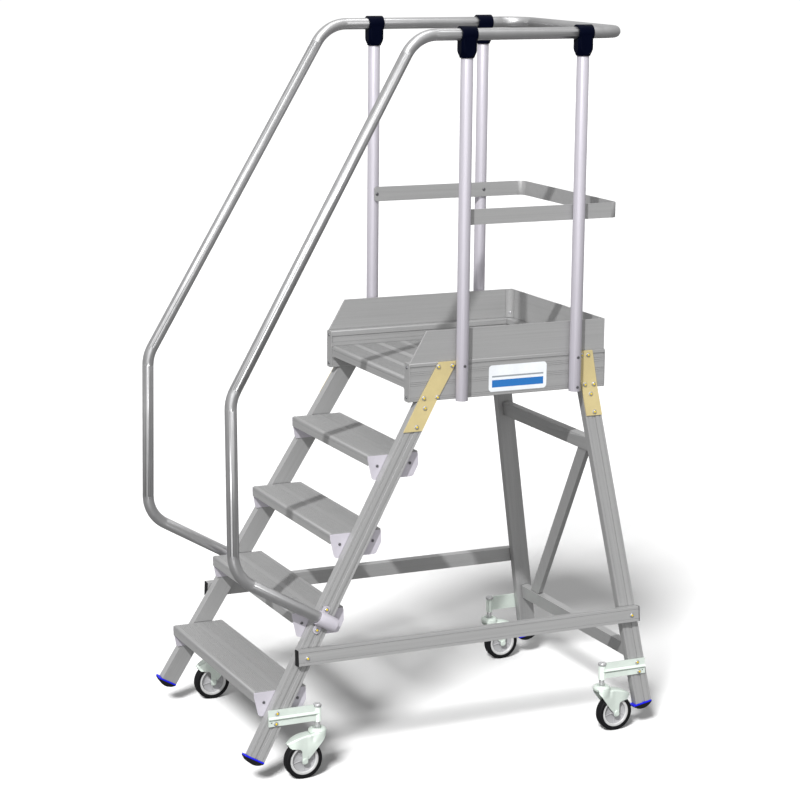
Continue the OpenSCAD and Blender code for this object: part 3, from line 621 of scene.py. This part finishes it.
def make_floor():
    """Pale floor that carries on far behind the ladder."""
    mesh = bpy.data.meshes.new("floor")
    reach = 40.0
    corners = [(-reach, -reach, 0), (reach, -reach, 0), (reach, reach, 0), (-reach, reach, 0)]
    mesh.from_pydata(corners, [], [(0, 1, 2, 3)])
    floor = bpy.data.objects.new("floor", mesh)
    bpy.context.scene.collection.objects.link(floor)
    material, tree, shader = new_material("floor_paint")
    position = add(tree, "TexCoord").outputs["Object"]
    cloud = noise(tree, position, 0.8, 3.0)
    tone = mixed(tree, cloud, rgb(0.44, 0.44, 0.44), rgb(0.46, 0.46, 0.46))
    tree.links.new(tone, shader.inputs["Base Color"])
    shader.inputs["Roughness"].default_value = 0.9
    mesh.materials.append(material)
    floor.visible_diffuse = False
    floor.visible_glossy = False
    return floor


def add_sun(name, energy, spread, to_light, floor, state):
    """A sun for the floor alone or for all but the floor."""
    sun = bpy.data.lights.new(name, "SUN")
    sun.energy = energy
    sun.angle = math.radians(spread)
    lamp = bpy.data.objects.new(name, sun)
    lamp.rotation_euler = to_light.to_track_quat("Z", "Y").to_euler()
    bpy.context.scene.collection.objects.link(lamp)
    lit = bpy.data.collections.new(name + "_lit")
    lit.objects.link(floor)
    lit.collection_objects[0].light_linking.link_state = state
    lamp.light_linking.receiver_collection = lit
    return lamp


def make_light(floor):
    """Sun, low fill and overhead shine on the ladder, a wide sun on the floor and a pale room."""
    add_sun("key", 3.1, 1.2, TO_LIGHT, floor, "EXCLUDE")
    add_sun("fill", 0.75, 50.0, TO_FILL, floor, "EXCLUDE")
    shine = add_sun("shine", 0.9, 36.0, TO_SHINE, floor, "EXCLUDE")
    shine.visible_diffuse = False
    add_sun("floor_key", 9.5, 14.0, TO_LIGHT, floor, "INCLUDE")
    world = bpy.data.worlds.new("room")
    world.use_nodes = True
    tree = world.node_tree
    tree.nodes.clear()
    height = add(tree, "SeparateXYZ", None, i0=add(tree, "TexCoord").outputs["Generated"]).outputs[2]
    glow = mapped(tree, height, -0.3, 0.8, 0.26, 0.78)
    seen = add(tree, "LightPath").outputs["Is Camera Ray"]
    level = add(tree, "Mix", {"data_type": "FLOAT"}, i0=seen, i2=glow, i3=1.05).outputs[0]
    sky = add(tree, "Background", None, Color=rgb(1.0, 1.0, 1.0), Strength=level)
    end = tree.nodes.new("ShaderNodeOutputWorld")
    tree.links.new(sky.outputs[0], end.inputs[0])
    bpy.context.scene.world = world


def make_camera():
    """Long lens at shoulder height in front of the climber's right side."""
    azimuth, down, roll = (math.radians(a) for a in (65.11, 11.90, 0.57))
    level = math.cos(down)
    forward = Vector((-math.sin(azimuth) * level, math.cos(azimuth) * level, -math.sin(down)))
    right = Vector((math.cos(azimuth), math.sin(azimuth), 0))
    up = right.cross(forward)
    right, up = right * math.cos(roll) + up * math.sin(roll), up * math.cos(roll) - right * math.sin(roll)
    data = bpy.data.cameras.new("camera")
    data.sensor_width = 36.0
    data.lens = 104.45
    data.clip_end = 200.0
    camera = bpy.data.objects.new("camera", data)
    spin = Matrix((right, up, -forward)).transposed().to_4x4()
    camera.matrix_world = Matrix.Translation((6.9379, -3.2116, 2.7260)) @ spin
    bpy.context.scene.collection.objects.link(camera)
    bpy.context.scene.camera = camera


MATERIALS = make_materials()
finish_nodes(MATERIALS)
for caster in CORNERS:
    make_fork(caster, MATERIALS)
    make_wheel(caster, MATERIALS)
make_corner_strips(MATERIALS)
make_light(make_floor())
make_camera()
bpy.context.scene.view_settings.view_transform = "Standard"
